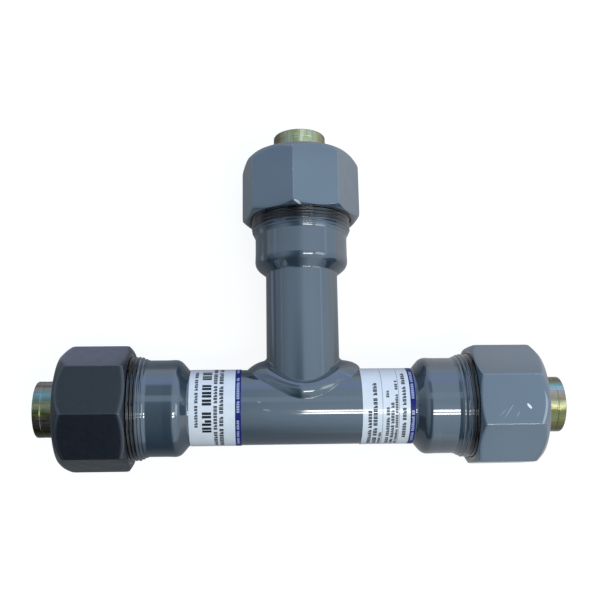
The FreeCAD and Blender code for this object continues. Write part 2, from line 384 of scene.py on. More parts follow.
# The pale grey of the edges: paint rubbed through, and a painted highlight line along them.
rubbed_and_highlight_colour = (0.20, 0.21, 0.215, 1)
primer_and_highlight = (0.78, 0.80, 0.80, 1)
dust_colour = (0.40, 0.41, 0.41, 1)
mark_depth = 3.0     # a mark's half size up and down, so that it also shows on a curved face


def enamel(name, colour=enamel_colour, chips_and_highlights=(), coat=1.0, worn_and_highlight=rubbed_and_highlight_colour):
    """Gloss enamel. Its marks are chips in the paint and painted highlights, each given by its place, its
    half sizes, its turn in degrees and its strength.
    """
    mat, tree, shader = new_material(name, Metallic=0.12, Specular_IOR_Level=0.2, Coat_Weight=coat,
                                     Coat_Roughness=0.045, Coat_IOR=2.02)
    here = on_object(tree)
    cloud = noise(tree, here, 26.0, 3.0, 0.55)
    dull = (*(0.88 * c for c in colour[:3]), 1)
    colour = blend_colour(tree, level(tree, cloud, 0.3, 0.7), dull, colour)
    dusty = use(tree, dust, Colour=colour, Dust=dust_colour, Amount=0.03).outputs
    # Edges blend toward that pale grey: rubbed-through paint with a painted highlight line.
    rubbed_and_highlight = use(tree, wear_and_highlight, Reach=0.55).outputs["Mask"]
    colour = blend_colour(tree, rubbed_and_highlight, dusty["Colour"], worn_and_highlight)
    # Each mark blends toward a pale colour, for chips and for painted highlights alike.
    for at, half, turn, strength in chips_and_highlights:
        spot = use(tree, chip_and_highlight, Place=Vector(at) * MM, Turn=(0, 0, math.radians(turn)),
                   Half=Vector((*half, mark_depth)) * MM).outputs["Mask"]
        colour = blend_colour(tree, times(tree, spot, strength), colour, primer_and_highlight)
    rough = level(tree, noise(tree, here, 120.0, 4.0, 0.6), 0.3, 0.75, 0.34, 0.44)
    rough = math_node(tree, "ADD", rough, times(tree, dusty["Mask"], 0.3), clamp=True)
    fill(tree, shader, {"Base Color": colour, "Roughness": rough})
    bump(tree, shader, use(tree, peel, Fine=0.25).outputs["Height"], 0.00004)
    return mat


# The three marks on the tube are light scuffs and painted highlights in one.
tube_enamel = enamel("tube_enamel", chips_and_highlights=[
    ((-27.0, 0.5, 24), (1.1, 0.5), 20, 0.16), ((-22.6, -4.2, 24), (2.6, 0.6), 8, 0.14),
    ((-3.6, -7.2, 24), (0.8, 0.6), 0, 0.16)])
right_enamel = enamel("right_nut_enamel", nut_colour, chips_and_highlights=[
    ((128.3, -5.0, 35), (0.75, 2.0), -38, 0.95), ((116.3, -7.6, 35), (0.18, 4.4), 36, 0.30),
    ((112.6, -8.5, 35), (0.14, 2.6), 50, 0.22), ((121.4, -9.4, 35), (0.20, 1.9), 28, 0.28)])
# The mark on the branch nut is a painted highlight on the corner of its inner chamfer.
branch_enamel = enamel("branch_nut_enamel", nut_colour, chips_and_highlights=[((-3.4, 119.1, 36), (2.6, 0.5), 25, 0.85)])
# The left nut's darker, less glossy enamel is a painted shade.
painted_shade_enamel = enamel("painted_shade_nut_enamel", (0.005, 0.007, 0.012, 1), coat=0.62,
                     worn_and_highlight=(0.030, 0.036, 0.052, 1))
print("enamels", [m.name for m in (tube_enamel, right_enamel, branch_enamel, painted_shade_enamel)])

# %% [markdown]
# ## Bare steel and rubber
# The thread beyond the ramp, the bores and the nut's inside are not painted. Their steel has
# gone dark brown-black under oil, and only the crests of the thread catch the light. One noise
# drives both colour and roughness, so a dark spot is also a smoother one, as oil makes it.
# The loose rings are cleaner steel, and the gaskets are dull black rubber.

# %% Steel and rubber finishes
thread_steel, tree, shader = new_material("thread_steel", Metallic=0.5, Coat_Weight=1.0, Coat_Roughness=0.08)
spots = noise(tree, on_object(tree), 180.0, 6.0, 0.65)
stain = ramp(tree, spots, [(0.35, (0.008, 0.007, 0.008)), (0.60, (0.018, 0.016, 0.016)),
                           (0.80, (0.050, 0.038, 0.030))])
fill(tree, shader, {"Base Color": stain, "Roughness": level(tree, spots, 0.3, 0.8, 0.22, 0.45)})
bump(tree, shader, use(tree, rings, Spacing=0.25).outputs["Height"], 0.00003)


def mottled_steel(name, metal, cloud, stops, rough, grain, depth):
    """Bare steel in cloudy shades. cloud and grain are the scale, detail and so on of a noise."""
    mat, tree, shader = new_material(name, Metallic=metal)
    here = on_object(tree)
    spots = noise(tree, here, *cloud)
    fill(tree, shader, {"Base Color": ramp(tree, spots, stops),
                        "Roughness": level(tree, spots, 0.3, 0.8, *rough)})
    bump(tree, shader, noise(tree, here, *grain), depth)
    return mat


bore_steel = mottled_steel(
    "bore_steel", 0.8, (90.0, 7.0, 0.6),
    [(0.3, (0.070, 0.066, 0.062)), (0.6, (0.135, 0.125, 0.115)), (0.8, (0.170, 0.120, 0.085))],
    (0.35, 0.6), (500.0, 3.0), 0.00004)
cup_steel = mottled_steel(
    "cup_steel", 0.95, (150.0, 5.0, 0.6), [(0.35, (0.30, 0.30, 0.31)), (0.7, (0.46, 0.46, 0.46))],
    (0.28, 0.46), (700.0, 2.0), 0.00003)
grip_steel = mottled_steel(
    "grip_steel", 0.95, (150.0, 5.0, 0.6), [(0.35, (0.055, 0.052, 0.050)), (0.7, (0.13, 0.12, 0.115))],
    (0.35, 0.53), (700.0, 2.0), 0.00003)

rubber, tree, shader = new_material("gasket_rubber", Roughness=0.62)
here = on_object(tree)
bloom = ramp(tree, noise(tree, here, 300.0, 5.0, 0.6),
             [(0.3, (0.014, 0.014, 0.015)), (0.75, (0.040, 0.040, 0.041))])
fill(tree, shader, {"Base Color": bloom})
bump(tree, shader, noise(tree, here, 1200.0, 3.0), 0.00004)
print("finishes so far", [m.name for m in bpy.data.materials])

# %% [markdown]
# ## Yellow zinc plating
# The pipe stiffeners are zinc plated and passivated yellow. The film is so thin that it shows
# interference colours, olive and gold with streaks of green, teal, pink and violet along the
# tube. The streaks are a ramp over the angle round the tube, bent by noise that is stretched
# along the axis, and the spin attribute of each skin gives that angle without a seam. The ramp
# holds painted reflections too: its bright stops are painted highlights of the lamps and sky,
# fixed to one side of each tube, and each stiffener has its own ramp and a painted shade factor
# that darkens it as a whole.

# %% Plating
def plating(name, shade, tints_and_reflections):
    """Yellow zinc: the colours across the tube, from its local -Y side to its +Y side, are interference tints
    with painted reflections in them. shade scales them all, a painted shade.
    """
    mat, tree, shader = new_material(name, Metallic=1.0)
    spin = attribute(tree, "spin")
    side = parts(tree, spin)[1]
    stretched = vector_node(tree, "MULTIPLY", spin, (3.0, 3.0, 0.05))
    wave = math_node(tree, "SUBTRACT", noise(tree, stretched, 1.0, 4.0, 0.6), 0.5)
    across = plus(tree, times(tree, side, 0.5), plus(tree, times(tree, wave, 0.14), 0.5))
    film = ramp(tree, across, [(at, tuple(shade * c for c in colour)) for at, colour in tints_and_reflections])
    fine = noise(tree, vector_node(tree, "MULTIPLY", spin, (14.0, 14.0, 0.12)), 1.0, 5.0, 0.6)
    dull = (0.26 * shade, 0.23 * shade, 0.11 * shade, 1)
    fill(tree, shader, {"Base Color": blend_colour(tree, level(tree, fine, 0.35, 0.7, 0.0, 0.55), film, dull),
                        "Roughness": level(tree, fine, 0.3, 0.75, 0.18, 0.34)})
    bump(tree, shader, fine, 0.00002)
    return mat


# Each tube's colours are its own: the bright stops are painted highlights, and the shade factor is a painted
# shade.
zinc = {
    "right": plating("zinc_right", 0.62, [
        (0.00, (0.10, 0.07, 0.05)), (0.12, (0.28, 0.26, 0.10)), (0.22, (0.42, 0.40, 0.16)),
        (0.34, (0.22, 0.21, 0.07)), (0.44, (0.72, 0.70, 0.40)), (0.55, (0.45, 0.36, 0.20)),
        (0.66, (0.75, 0.56, 0.47)), (0.76, (0.38, 0.68, 0.64)), (0.88, (0.22, 0.19, 0.13)),
        (1.00, (0.12, 0.09, 0.07))]),
    "left": plating("zinc_left", 0.88, [
        (0.00, (0.25, 0.22, 0.21)), (0.12, (0.32, 0.24, 0.20)), (0.24, (0.16, 0.26, 0.26)),
        (0.34, (0.30, 0.52, 0.50)), (0.44, (0.20, 0.18, 0.10)), (0.52, (0.55, 0.55, 0.30)),
        (0.60, (0.20, 0.22, 0.07)), (0.72, (0.14, 0.10, 0.09)), (0.80, (0.30, 0.22, 0.22)),
        (0.88, (0.22, 0.23, 0.10)), (1.00, (0.10, 0.08, 0.06))]),
    "branch": plating("zinc_branch", 0.88, [
        (0.00, (0.22, 0.22, 0.12)), (0.20, (0.50, 0.50, 0.28)), (0.40, (0.55, 0.56, 0.32)),
        (0.50, (0.75, 0.72, 0.45)), (0.60, (0.58, 0.56, 0.30)), (0.75, (0.40, 0.42, 0.26)),
        (0.90, (0.30, 0.24, 0.16)), (1.00, (0.18, 0.12, 0.08))]),
}
print("yellow zinc", list(zinc))

# %% [markdown]
# ## Outline of a bell and its thread
# Each tube is one piece of steel: its ends are swaged out to bells, and a right-hand thread of
# 12 to the inch is cut on each. The grooves run out on the ramp behind the thread. A boolean
# with a screw would give the thread poor faces, so the ridge is part of the ring of points:
# its phase is the distance along the axis plus the angle, in turns.

# %% Outline of a bell
tube_from = 8       # the outline reaches this far back from the shoulder, over plain tube
no_cap = 99.0       # a station whose radius nothing holds down
painted, bare_thread, bore = 0, 1, 2    # each station's finish
swage_from, swage_to = 0.7, 6.3     # corners where the wall turns out, and straight again
swell, swell_end = 0.3, 14.0        # how far that corner lies outside the bell, and its end
fade_from, fade_len = 0.2, 3.6      # the grooves deepen over this length of the ramp
lead_len, lead_slope = 1.3, 0.8     # the first crests at the mouth are cut down


def ridge(turns):
    """1 on a crest of the thread and 0 in a root. Half a turn on, it is one minus that."""
    t = 1 - np.abs(2 * (turns % 1.0) - 1)
    return np.clip(0.5 + (t - 0.5) * 1.3, 0, 1)


def smooth(x):
    """0 to 1, with no corner at either end."""
    x = np.clip(x, 0, 1)
    return x * x * (3 - 2 * x)


def bell(at, tube_r, bare):
    """Stations of one bell from the tube outward and back in: s, crest, groove, cap, finish."""
    outer = rounded([(at - tube_from, tube_r), (at + swage_from, tube_r, 1.8),
                     (at + swage_to, bell_r + swell, 6.5), (at + swell_end, bell_r, 12.0),
                     (at + ramp_at, bell_r, 3.0), (at + ramp_end, thread_r)], closed=False, steps=9)[1:-1]
    rows = [(s, r, 0.0, no_cap, painted) for s, r in outer]
    for x in np.arange(outer[-1][0] - at + pitch / 12, neck_len - 0.05, pitch / 12):
        crest = min(thread_r, bell_r + (thread_r - bell_r) * (x - ramp_at) / (ramp_end - ramp_at))
        groove = (thread_r - root_r) * float(smooth((x - ramp_at - fade_from) / fade_len))
        cap = thread_r - lead_slope * max(0.0, x - neck_len + lead_len)
        rows.append((at + x, crest, groove, cap, painted if x < bare else bare_thread))
    mouth_r = seat_r + (neck_len - seat_at) * seat_slope
    bore_r = tube_r - wall
    inner = rounded([(at + neck_len, root_r - 0.6), (at + neck_len, mouth_r), (at + seat_at, seat_r, 2.0),
                     (at + seat_from, seat_r, 2.0), (at + pocket_end, pocket_r), (at + stop_at, pocket_r),
                     (at + stop_at, bore_r), (at - tube_from, bore_r)], closed=False)
    return rows + [(s, r, 0.0, no_cap, bore) for s, r in inner]


def column(rows, k):
    return np.array([row[k] for row in rows])


def threaded(rows, phi):
    """Radius at each angle and station, with the thread's ridges in it."""
    s, crest, groove, cap = (column(rows, k) for k in range(4))
    turns = s[None, :] / pitch + phi[:, None] / TURN
    return np.minimum(crest - groove * (1 - ridge(turns)), cap)


bells = {end: bell(size["at"], branch_r if end == "branch" else run_r, size["bare"])
         for end, size in ends.items()}
print("stations of each bell", {end: len(rows) for end, rows in bells.items()})

# %% [markdown]
# ## The run
# The run is one tube with a bell at each end. Here it is two bells set back to back. It could be
# woven round its hole for the branch, but the hole is round and clean and lies on plain tube, so
# a boolean is the simple way.

# %% Run barrel
around = np.arange(216) * TURN / 216
right, left = bells["right"], bells["left"]
half_right = place("right", column(right, 0), threaded(right, around), around[:, None])
half_left = place("left", column(left, 0), threaded(left, -around), -around[:, None])
points = np.concatenate([half_right, half_left[:, ::-1]], 1)
stations = np.concatenate([column(right, 0), -column(left, 0)[::-1]])
finishes = [*column(right, 4), *column(left, 4)[::-1]]
run = skin("run_barrel_threaded", points, spin_of(around[:, None], stations[None, :]), finishes)


def cut_round_hole(obj, radius, length):
    """Cuts a round hole from the run's axis out along +Y, where the branch joins."""
    phi = np.arange(96) * TURN / 96
    s, r = np.array([0.0, 0.0, length, length]), np.array([0.01, radius, radius, 0.01])
    cutter = skin("hole", place("branch", s[None, :], r[None, :], phi[:, None]), spin_of(phi[:, None], s))
    tool = obj.modifiers.new("branch_hole", "BOOLEAN")
    tool.operation, tool.object, tool.solver = "DIFFERENCE", cutter, "EXACT"
    bpy.context.view_layer.update()
    done = bpy.data.meshes.new_from_object(obj.evaluated_get(bpy.context.evaluated_depsgraph_get()))
    obj.modifiers.clear()
    obj.data = done
    bpy.data.objects.remove(cutter)
    done.set_sharp_from_angle(angle=math.radians(38))


cut_round_hole(run, branch_r - wall, 40.0)
barrel_finishes = [tube_enamel, thread_steel, bore_steel]
dress(run, "fitting", "enamel", barrel_finishes, "run_barrel")

# %% [markdown]
# ## The branch
# The branch is one tube with a bell at its far end, and its foot is cut to a saddle that sits on
# the run. A boolean could cut it, but at each angle the tube starts where it meets the run, and
# that is a square root, so two more stations do the same with clean quads.

# %% Branch barrel
rows = bells["branch"]
foot_r = np.broadcast_to([branch_r - wall, branch_r], (len(around), 2))
foot_s = np.sqrt(run_r ** 2 - (foot_r * np.cos(around)[:, None]) ** 2)
bell_s = np.broadcast_to(column(rows, 0), (len(around), len(rows)))
s = np.concatenate([foot_s, bell_s], 1)
r = np.concatenate([foot_r, threaded(rows, around)], 1)
phi = around[:, None]
branch = skin("branch_barrel_threaded", place("branch", s, r, phi), spin_of(phi, s),
              [bore, painted, *column(rows, 4)])
dress(branch, "fitting", "enamel", barrel_finishes, "branch_barrel")

# %% [markdown]
# ## The weld
# The branch stands on the run with a fillet weld all round, thick and soft under the enamel. Its
# section at each angle is an arc of a circle that follows the crossing of the two tubes, and on
# the run's crest it turns into a wider, flatter one. Soft toes let it grow out of both skins, and
# the ring is closed under them. Ripples and a few lumps keep it from looking turned.

# %% Weld bead
bead_in, bead_shift = 2.5, 4.2      # its centre inside the branch's skin, and the move out from there
bead_rise, bead_sink = 4.5, 4.3     # its centre over the saddle's low point, and under the run's crest
bead_r, bead_grow = 5.5, 3.7        # its radius, and how much that grows toward the crest
wing_long, wing_tall = 12.4, 5.6    # the flatter section on the crest
soft_branch, soft_run = 0.6, 0.4    # the toes
sunk = 0.6      # how far the ring closes under the skins
arc_points = 34


def lump(phi, at, width):
    """1 at the angle at (degrees), fading to 0 within width."""
    off = (math.degrees(phi) - at + 180) % 360 - 180
    return math.exp(-(off / width) ** 2)


def lifted(over, soft):
    """Keeps a distance over a surface above 0, with a soft toe instead of a corner."""
    return soft * math.log1p(math.exp(over / soft))


def weld_ring(phi):
    """The bead's closed section at angle phi round the branch, as x, y, z points."""
    cos, sin = math.cos(phi), math.sin(phi)
    c = cos * cos
    side = float(smooth((c - 0.55) / 0.45))     # 1 where the bead lies on the run's crest
    left = side if cos < 0 else 0.0
    low = math.sqrt(run_r ** 2 - branch_r ** 2)
    mid_r = branch_r - bead_in + bead_shift * c * c
    mid_h = (low + bead_rise) * (1 - c) + (run_r - bead_sink) * c
    ripple = 0.035 * math.sin(23 * phi) + 0.06 * math.sin(7 * phi + 1.0)
    ripple += 0.30 * (lump(phi, 142, 6) + lump(phi, 37, 6)) - 0.15 * lump(phi, 120, 8)
    radius = bead_r + bead_grow * c + ripple
    long, tall, power = wing_long - 0.9 * left, wing_tall + ripple, 1.0 - 0.22 * left

    def surface(r):
        return math.sqrt(max(run_r ** 2 - (r * sin) ** 2, 0.0))

    top = math.acos(max(-1.0, (branch_r - 3 * soft_branch - mid_r) / radius))
    toe = top
    while math.hypot(mid_h + radius * math.sin(toe), (mid_r + radius * math.cos(toe)) * sin) > run_r - 1.2:
        toe -= 0.01
    out = []
    for t in np.linspace(0, 1, arc_points):
        a = top + (toe - top) * t
        round_r, round_h = mid_r + radius * math.cos(a), mid_h + radius * math.sin(a)
        b = math.pi / 2 * (1 - t)
        flat_r = branch_r + long * math.cos(b) ** (2 / (1 + power))
        flat_h = surface(min(flat_r, run_r / max(abs(sin), 0.01)))
        flat_h += tall * math.sin(b) ** (2 / (1 + power) + 0.55 * left)
        flat_h += 1.2 * math.exp(-(flat_r - branch_r) / 0.9)
        r = round_r + (flat_r - round_r) * side
        h = round_h + (flat_h - round_h) * side
        r = branch_r + lifted(r - branch_r, soft_branch)
        y, z = h, r * sin
        rho = math.hypot(y, z)
        grown = (run_r + lifted(rho - run_r, soft_run)) / rho
        out.append((r * cos, y * grown, z * grown))
    x, y, z = out[-1]
    rho = math.hypot(y, z)
    under = (x, y * (run_r - sunk) / rho, z * (run_r - sunk) / rho)
    in_r = branch_r - sunk
    foot = math.sqrt(max((run_r - sunk) ** 2 - (in_r * sin) ** 2, 0.0))
    inner = [(in_r * cos, h, in_r * sin) for h in (foot, out[0][1] + 0.2)]
    return out + [under] + inner


angles = np.arange(180) * TURN / 180
points = np.array([weld_ring(a) for a in angles])
weld = skin("weld_bead", points, spin_of(angles[:, None], points[..., 1]), sharp=60)
dress(weld, "fitting", "enamel", [tube_enamel], "branch_weld")

# %% [markdown]
# ## Octagonal nuts
# A nut is an eight-sided bar, chamfered at both ends so that each flat ends in a shallow
# curve. Cutting a mesh cylinder by eight planes would leave ragged edges there, so the rows of
# points bend instead: at each angle the row lies exactly where chamfer and flat meet.

# %% Nut outline
nut_sides = 8
half_side = math.pi / nut_sides
edge_round = 0.9         # along the edges between the flats
chamfer_crown = 0.2      # how far a chamfer bows out
widest = nut_flat / math.cos(half_side) + 2     # where that bow ends
inner_chamfer, outer_chamfer = (0.45, 0.75), (2.3, 1.15)     # land inside the flats, and slope
edge_soft = 0.30         # between a chamfer and the flats
roll, drop = 2.4, 0.22   # how long and deep the flats roll over before a chamfer
cone_thin_r, cone_thick_r, room_r = 25.65, 28.926, 29.526    # grip ring's cone, and room for the cup
face_in_r, face_out_r = 32.9, 33.9      # the flat ring on the inner face
lead_r, ridge_t = 32.35, 0.70           # the thread's lead-in, and its ridges' height


def bar_columns(turn):
    """Angles round an octagonal bar with rounded edges, and its radius at each."""
    tangent = math.atan((nut_flat - edge_round) * math.tan(half_side) / nut_flat)
    side = np.radians([0, 3, 6, 9, 12, 15, 18, 20, 21.2, 21.7]).tolist()
    side += np.linspace(tangent, half_side, 5).tolist()
    delta = np.array([-d for d in side[-2:0:-1]] + side)
    phi = np.concatenate([math.radians(turn) + half_side * (2 * k + 1) + delta for k in range(nut_sides)])
    delta = np.tile(delta, nut_sides)
    corner = half_side - np.abs(delta)
    centre = (nut_flat - edge_round) / math.cos(half_side)
    off = np.maximum(edge_round ** 2 - (centre * np.sin(corner)) ** 2, 0)
    on_round = centre * np.cos(corner) + np.sqrt(off)
    return phi, np.where(np.abs(delta) < tangent, nut_flat / np.cos(delta), on_round)


def chamfer(r, land, slope):
    """How far from the nut's end its crowned chamfer meets radius r."""
    r0 = nut_flat - land
    t = (r - r0) / (widest - r0)
    return (r - r0) * slope - 4 * chamfer_crown * t * (1 - t) * math.hypot(1, slope)


def nut_rows(face, phi, bar_r):
    """Stations of a nut in order round it: s, r, edge marking for wear and a painted highlight, finish. The
    first two may depend on the angle.
    """
    back, lip, thread_end = face + nut_len, face + nut_len - lip_len, face + nut_thread_len
    rows = [(face, face_in_r, 0.2, painted), (face, face_out_r, 0.0, painted)]
    in_r, out_r = nut_flat - inner_chamfer[0], nut_flat - outer_chamfer[0]
    for t in (0.0, 0.1, 0.4, 0.7, 1.0):
        r = in_r + (bar_r - edge_soft - in_r) * t
        rows.append((face + chamfer(r, *inner_chamfer), r, 0.75 if t in (0.0, 1.0) else 0.2, painted))
    start, stop = chamfer(bar_r, *inner_chamfer), nut_len - chamfer(bar_r, *outer_chamfer)
    # The flats roll over before a chamfer; the third value marks rubbed paint and a painted highlight line
    # there.
    rolled = [(roll * t, bar_r - drop * (1 - t) ** 2, 0.85 * (1 - t) ** 4)
              for t in (0.1, 0.25, 0.45, 0.7, 1.0)]
    rows += [(face + start + s, r, rub_and_highlight, painted) for s, r, rub_and_highlight in rolled]
    for t in (0.25, 0.5, 0.75):
        rows.append((face + start + roll + (stop - start - 2 * roll) * t, bar_r, 0.0, painted))
    rows += [(face + stop - s, r, rub_and_highlight, painted) for s, r, rub_and_highlight in reversed(rolled)]
    for t in (1.0, 0.75, 0.5, 0.25, 0.1, 0.0):
        r = out_r + 0.6 + (bar_r - edge_soft - out_r - 0.6) * t
        rows.append((back - chamfer(r, *outer_chamfer), r, 0.6 if t == 1.0 else 0.1, painted))
    for s, r in rounded([(back - chamfer(out_r + 0.6, *outer_chamfer), out_r + 0.6), (back, out_r, 1.9),
                         (back, 23.0)], closed=False, steps=7)[1:-1]:
        rows.append((s, r, 0.3, painted))
    for s, r in rounded([(back, 30.0), (back, hole_r + 0.6), (back - 0.6, hole_r), (lip, hole_r),
                         (lip, cone_thin_r), (lip - grip_len, cone_thick_r), (lip - grip_len, room_r),
                         (thread_end + 1.4, room_r, 0.6), (thread_end, nut_thread_r)],
                        closed=False, steps=4)[1:-1]:
        rows.append((s, r, 0.3, painted if s > lip - 1 else bare_thread))
    for s in np.arange(nut_thread_len - 0.1, 0.1, -pitch / 8):
        turns = (face + s) / pitch + phi / TURN
        depth = ridge_t * min(1.0, max(0.0, (nut_thread_len - s) / 1.5))
        r = np.maximum(nut_thread_r - depth * ridge(turns + 0.5), lead_r - s)
        rows.append((face + s, r, 0.0, bare_thread))
    return rows


def nut(end, paint):
    size = ends[end]
    phi, bar_r = bar_columns(size["turn"])
    rows = nut_rows(size["at"] + size["out"] + nut_at, phi, bar_r)
    s, r, rubbed_and_highlight = (np.stack([np.broadcast_to(row[k], phi.shape) for row in rows], 1) for k in range(3))
    # The edges between the flats get the paler edge line: rubbed paint and a painted highlight.
    on_edge = np.isclose(bar_r, bar_r.max(), atol=0.12)[:, None] & (r > nut_flat)
    rubbed_and_highlight = np.maximum(rubbed_and_highlight, np.where(on_edge, 0.85, 0.0))
    made = skin(f"nut_{end}_octagon", place(end, s, r, phi[:, None]), spin_of(phi[:, None], s),
                [row[3] for row in rows], rubbed_and_highlight, sharp=34)
    dress(made, f"nut_{end}", "enamel", [paint, thread_steel], f"nut_{end}")


for end, paint in {"right": right_enamel, "left": painted_shade_enamel, "branch": branch_enamel}.items():
    nut(end, paint)

# %% [markdown]
# ## Pipe stiffeners
# The tube that keeps the plastic pipe from collapsing under the grip stands out of each nut. It
# is thin rolled steel with a flange flared at its inner end, a lightly broken edge at the mouth,
# and a shallow groove near it. Each tube's grain starts elsewhere, so that no two look alike.

# %% Stiffeners
groove_depth = 0.12
grain_from = {"right": 0.0, "left": 400.0, "branch": 900.0}


def stiffener(end):
    size = ends[end]
    start, stop = size["at"] + stop_at, size["at"] + size["reach"]
    inner, flange_r, groove_r = stiff_r - stiff_wall, pocket_r - 0.05, stiff_r - groove_depth
    outline = rounded([(start, inner, 1.8), (stop, inner, 0.15), (stop, stiff_r - 0.3, 0.1),
                       (stop - 0.4, stiff_r, 0.3), (stop - 4.4, stiff_r, 0.2), (stop - 4.7, groove_r, 0.2),
                       (stop - 5.3, groove_r, 0.2), (stop - 5.6, stiff_r, 0.2),
                       (start + flange_t, stiff_r, 1.2), (start + flange_t, flange_r, 0.3),
                       (start, flange_r, 0.3)])
    phi = np.arange(128)[:, None] * TURN / 128
    s, r = outline[None, :, 0], outline[None, :, 1]
    made = skin(f"stiffener_{end}_plated", place(end, s, r, phi), spin_of(phi, s, grain_from[end]))
    dress(made, "fitting", "zinc", [zinc[end]], f"stiffener_{end}")


for end in ends:
    stiffener(end)

# %% [markdown]
# ## The rings inside the nuts
# Gasket, cup and grip ring are right as the CAD has them, so they stay, each with its own
# finish. They show when a nut is backed off, and a little of the grip ring shows in its mouth.

# %% Finishes for the rings
def finish_cad(name, finish):
    """Gives a CAD piece that stays its finish."""
    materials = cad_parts[name].data.materials
    materials.clear()
    materials.append(finish)


inner_rings = {"gasket": rubber, "gasket_cup": cup_steel, "grip_ring": grip_steel}
for end in ends:
    for kind, finish in inner_rings.items():
        finish_cad(f"{kind}_{end}", finish)
print("rings", list(inner_rings))

# %% [markdown]
# ## Labels
# Two glossy film labels are wrapped round the run. The film itself is the CAD's. The print on it
# is left as fields of colour: short plain bars where the words run round the tube, rules, and
# a navy band along one edge. Each mark is a thin curved tile, so it follows the tube and shows
# in the mesh, not only in an image.

# %% Film and inks
film_r = run_r + 0.32
print_t = 0.02           # a mark reaches this far over the film, and as far into it
black, navy, pale_on_navy = 0, 1, 2


def flat_finish(name, low, high, rough, **values):
    """Film or ink: two close shades in soft clouds."""
    mat, tree, shader = new_material(name, **values)
    cloud = noise(tree, on_object(tree), 140.0, 5.0, 0.6)
    colour = ramp(tree, cloud, [(0.3, low), (0.7, high)])
    dusty = use(tree, dust, Colour=colour, Dust=(0.55, 0.55, 0.54, 1), Amount=0.04)
    fill(tree, shader, {"Base Color": dusty.outputs["Colour"],
                        "Roughness": level(tree, cloud, 0.3, 0.8, rough, rough + 0.12)})
    bump(tree, shader, use(tree, peel, Fine=0.1).outputs["Height"], 0.00004)
    return mat


film = flat_finish("label_film", (0.70, 0.69, 0.69), (0.75, 0.74, 0.74), 0.28,
                   Coat_Weight=0.6, Coat_Roughness=0.06)
inks = [
    flat_finish("black_ink", (0.008, 0.009, 0.013), (0.016, 0.017, 0.023), 0.32, Specular_IOR_Level=0.25),
    flat_finish("navy_ink", (0.006, 0.007, 0.115), (0.010, 0.012, 0.160), 0.32, Specular_IOR_Level=0.2),
    flat_finish("pale_ink", (0.34, 0.38, 0.52), (0.42, 0.46, 0.60), 0.30),
]
for side in ("left", "right"):
    finish_cad(f"label_{side}", film)
print("inks", [ink.name for ink in inks])

# %% [markdown]
# ## The print as plain tiles
# The real labels' words are left out. A seeded generator picks the length of each stand-in word,
# so the lines look uneven as print does and come out the same every time.

# %% Print
def tiles(name, marks):
    """Curved tiles on the film. A mark is x from, x to, angle from, angle to (degrees), finish."""
    verts, faces, finishes = [], [], []
    low_r, high_r = film_r - print_t, film_r + print_t
    for x0, x1, a0, a1, kind in marks:
        cuts = max(1, int(abs(a1 - a0) / 4))
        base = len(verts)
        for k in range(cuts + 1):
            a = math.radians(a0 + (a1 - a0) * k / cuts)
            for x, r in ((x0, low_r), (x1, low_r), (x1, high_r), (x0, high_r)):
                verts.append((x * MM, r * math.sin(a) * MM, r * math.cos(a) * MM))
        made = []
        for k in range(cuts):
            here = base + 4 * k
            for i in range(4):
                i2 = (i + 1) % 4
                made.append([here + i, here + i2, here + 4 + i2, here + 4 + i])
        made += [[base + 3, base + 2, base + 1, base], [base + 4 * cuts + i for i in range(4)]]
        faces += made
        finishes += [kind] * len(made)
    mesh = bpy.data.meshes.new(name)
    mesh.from_pydata(verts, [], faces)
    mesh.polygons.foreach_set("material_index", finishes)
    mesh.polygons.foreach_set("use_smooth", [True] * len(faces))
    mesh.set_sharp_from_angle(angle=math.radians(30))
    dress(in_scene(name, mesh), "fitting", "label", inks)


def line_of_bars(rng, x0, x1, a0, a1, kind=black, words=None, stroke=0.46, wide=0.68):
    """A line of print round the tube: words of upright marks, each mark a pair of plain bars."""
    mark = (x1 - x0) * wide * 180 / math.pi / film_r
    marks, a, lengths = [], a0, list(words or [])
    while a < a1:
        for _ in range(lengths.pop(0) if lengths else rng.integers(3, 9)):
            if a + mark > a1:
                return marks
            cut = rng.choice([0.0, 0.0, 0.3])
            marks.append((x0, x1, a, a + stroke * mark, kind))
            marks.append((x0 + cut * (x1 - x0), x1, a + (1 - stroke) * mark, a + mark, kind))
            a += 1.3 * mark
        a += 0.8 * mark
        if words and not lengths:
            break
    return marks


rng = np.random.default_rng(7)
left_print = [(-41.0, -37.6, -165, 165, navy)]
left_print += line_of_bars(rng, -64.6, -62.7, -36, 60)
left_print += line_of_bars(rng, -60.2, -54.8, -45, 66, words=(3, 3, 4), stroke=0.44, wide=0.66)
for line in ((-53.5, -51.4, -80, 80), (-50.2, -47.8, -80, 80), (-40.1, -38.7, -75, -25, pale_on_navy),
             (-40.1, -38.5, -14, 44, pale_on_navy), (-40.1, -38.7, 56, 75, pale_on_navy)):
    left_print += line_of_bars(rng, *line)
tiles("label_left_print", left_print)

right_print = [(61.6, 65.0, -165, 165, navy), (45.2, 45.4, -150, 66, black), (54.8, 55.0, -150, 66, black)]
for line in ((36.8, 38.9, -80, -13), (39.8, 42.2, -80, 33), (43.2, 44.7, -80, -46), (47.5, 49.4, -80, -8),
             (50.2, 52.1, -80, 0), (52.8, 54.4, -80, 12), (57.0, 59.2, -60, 54), (47.5, 49.2, 6, 20),
             (52.8, 54.4, 18, 36), (62.4, 64.0, -70, -12, pale_on_navy), (62.4, 64.0, 4, 60, pale_on_navy)):
    right_print += line_of_bars(rng, *line)
tiles("label_right_print", right_print)

# %% [markdown]
# ## The floor
# The fitting lies on a pale floor that is white to the camera and keeps the shadow. Glossy paint
# is mostly what it mirrors, so the floor has a second look for mirrored rays only: a glow that is
# stronger behind and to the right, two soft pools of light, and a dim patch at the front left.
# Cards and flags round a real set do the same, but here they would need many objects.

